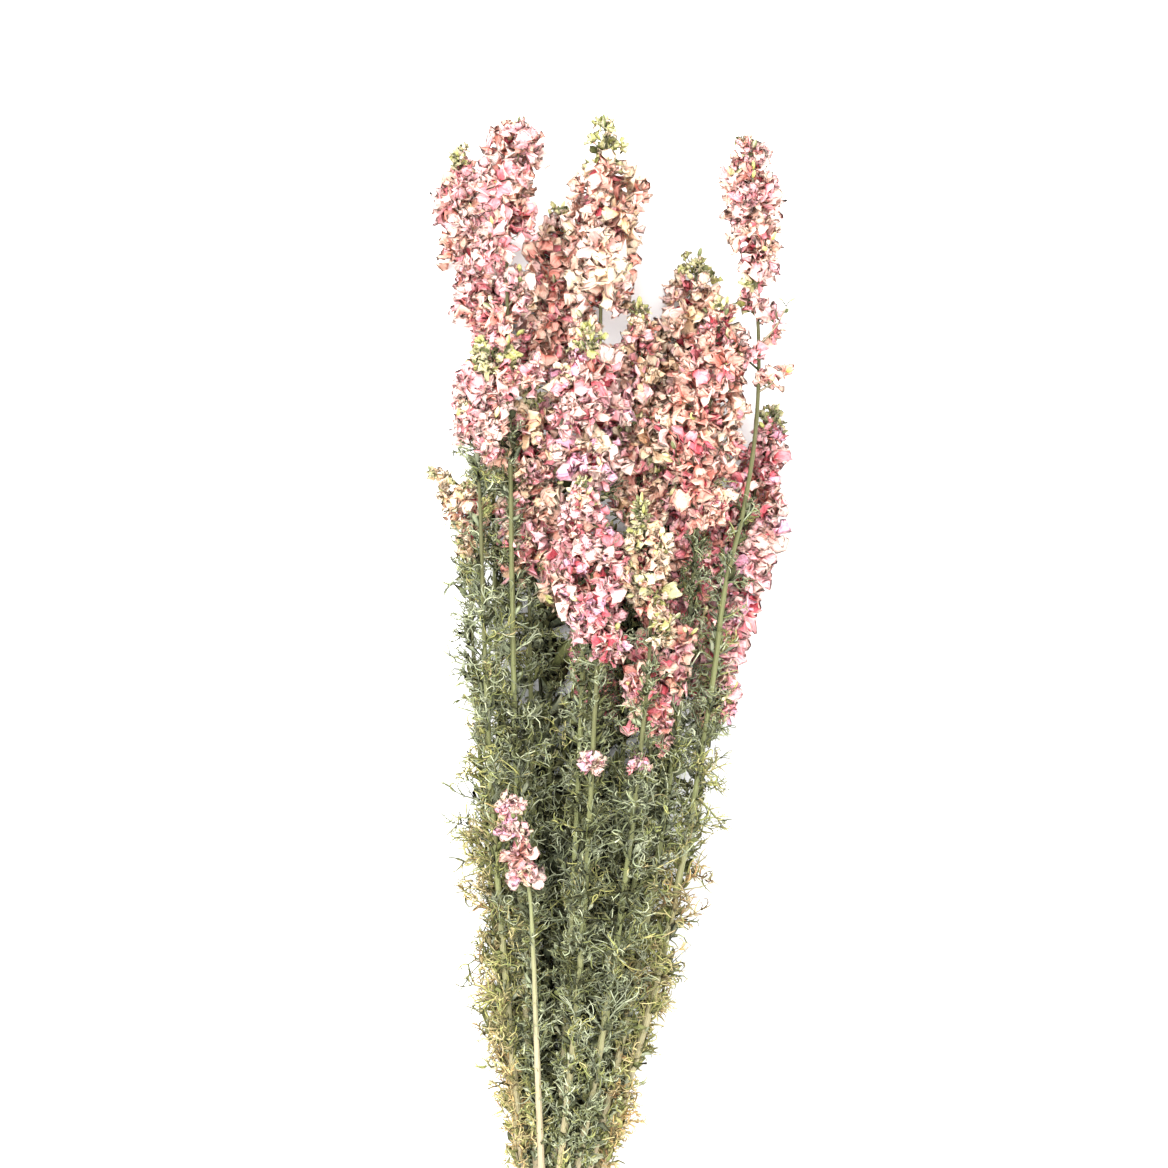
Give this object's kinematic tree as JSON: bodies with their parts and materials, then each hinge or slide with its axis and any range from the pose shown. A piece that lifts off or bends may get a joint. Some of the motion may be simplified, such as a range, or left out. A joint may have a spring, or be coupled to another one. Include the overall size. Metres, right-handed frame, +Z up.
{
  "type": "bunch of dried delphinium",
  "caption": "Bunch of dried delphinium stalks with feathery leaves and papery flower spikes, held by a rubber band above the cut ends, lying flat.",
  "frame": {"origin": "bottom centre of the bounding box, on the table that the bunch lies on", "axes": "+Y along the bunch from the cut ends to the flower tips, +X across it to the right, +Z up from the table"},
  "size_m": [0.2354, 0.7894, 0.1305],
  "materials": {
    "stem": "dry, finely ribbed, olive green fading to grey beige at the foot",
    "leaves": "dry matte threads, grey green to straw",
    "flowers": "dry papery petals, cream to dusty rose",
    "band": "plain natural rubber, slightly satin"
  },
  "bodies": {
    "root": {"stem_far_left_tall": "stem", "leaves_far_left_tall": "leaves", "flowers_far_left_tall": "flowers", "stem_left_tall": "stem", "leaves_left_tall": "leaves", "flowers_left_tall": "flowers", "stem_centre_low": "stem", "leaves_centre_low": "leaves", "flowers_centre_low": "flowers", "stem_centre_tall": "stem", "leaves_centre_tall": "leaves", "flowers_centre_tall": "flowers", "stem_right_shoulder": "stem", "leaves_right_shoulder": "leaves", "flowers_right_shoulder": "flowers", "stem_right_tall": "stem", "leaves_right_tall": "leaves", "flowers_right_tall": "flowers", "stem_far_right": "stem", "leaves_far_right": "leaves", "flowers_far_right": "flowers", "stem_front_upper": "stem", "leaves_front_upper": "leaves", "flowers_front_upper": "flowers", "stem_front_lower": "stem", "leaves_front_lower": "leaves", "flowers_front_lower": "flowers", "stem_left_short": "stem", "leaves_left_short": "leaves", "flowers_left_short": "flowers", "stem_left_inner": "stem", "leaves_left_inner": "leaves", "flowers_left_inner": "flowers", "stem_slender_pale": "stem", "leaves_slender_pale": "leaves", "flowers_slender_pale": "flowers", "stem_right_inner": "stem", "leaves_right_inner": "leaves", "flowers_right_inner": "flowers", "stem_right_low": "stem", "leaves_right_low": "leaves", "flowers_right_low": "flowers", "stem_centre_back": "stem", "leaves_centre_back": "leaves", "flowers_centre_back": "flowers", "stem_left_fringe": "stem", "leaves_left_fringe": "leaves", "flowers_left_fringe": "flowers", "stem_low_back": "stem", "leaves_low_back": "leaves", "flowers_low_back": "flowers", "stem_low_right": "stem", "leaves_low_right": "leaves", "flowers_low_right": "flowers", "stem_front_sprig": "stem", "leaves_front_sprig": "leaves", "flowers_front_sprig": "flowers", "rubber_band": "band"}
  },
  "joints": []
}
